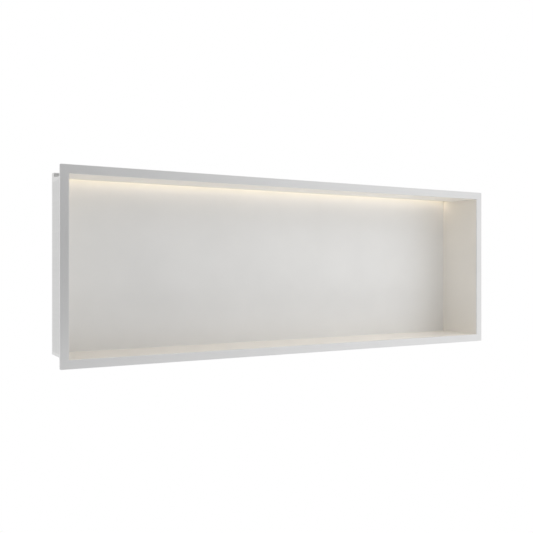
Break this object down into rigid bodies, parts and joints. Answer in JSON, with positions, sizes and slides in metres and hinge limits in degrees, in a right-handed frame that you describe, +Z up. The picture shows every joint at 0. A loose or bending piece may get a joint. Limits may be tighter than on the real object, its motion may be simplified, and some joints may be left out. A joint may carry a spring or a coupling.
{
  "type": "shower niche insert",
  "caption": "Long recessed shower niche of folded stainless steel with a flat flange round its opening and a warm light bar hidden in a pocket above the back of its ceiling.",
  "frame": {"origin": "middle of the opening, on the wall plane, which is the plane of the flange's back face (mount wall_cutout)", "axes": "+X along the niche to the right as seen from the room, +Y into the wall, +Z up; the opening faces -Y"},
  "size_m": [0.93, 0.107, 0.33],
  "materials": {
    "satin_steel": "satin, fine straight grain along the sheet",
    "anodised_aluminium": "satin anodised",
    "foam_tape": "matte acrylic foam",
    "opal_cover": "opal, lit from behind",
    "circuit_strip": "white solder mask",
    "light_chips": "phosphor resin",
    "resistor_black": "matte",
    "cap_plastic": "fine moulded grain",
    "grommet_rubber": "matte"
  },
  "bodies": {
    "root": {"niche_body": "satin_steel", "led_profile": "anodised_aluminium", "mounting_tape": "foam_tape", "diffuser": "opal_cover", "led_tape": "circuit_strip", "led_chips": "light_chips", "tape_resistors": "resistor_black", "left_end_cap": "cap_plastic", "right_end_cap": "cap_plastic", "cable_grommet": "grommet_rubber"}
  },
  "joints": []
}
